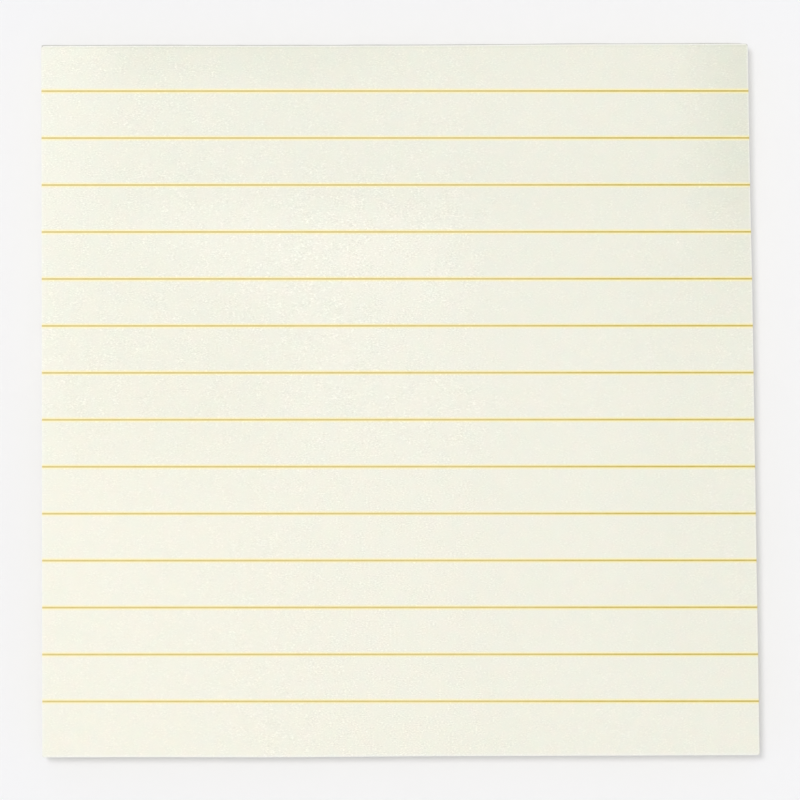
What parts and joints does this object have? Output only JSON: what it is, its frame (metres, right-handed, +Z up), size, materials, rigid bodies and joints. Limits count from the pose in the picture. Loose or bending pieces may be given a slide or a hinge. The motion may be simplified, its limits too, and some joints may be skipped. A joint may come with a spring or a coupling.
{
  "type": "sticky note pad",
  "caption": "Square pad of cream ruled sticky notes with fine yellow lines, glued at the head and lying face up on a plain backing sheet.",
  "frame": {"origin": "centre of the pad's spans, on the surface that it lies on", "axes": "+X to the right along the ruled lines, +Y toward the glued head, +Z up out of the top note"},
  "size_m": [0.0764, 0.076, 0.0082],
  "materials": {
    "note_paper": "matte",
    "line_ink": "matte",
    "adhesive": "satin",
    "backing_paper": "satin"
  },
  "bodies": {
    "root": {"note_block": "note_paper", "ruled_lines": "line_ink", "adhesive_strip": "adhesive", "backing_sheet": "backing_paper"}
  },
  "joints": []
}
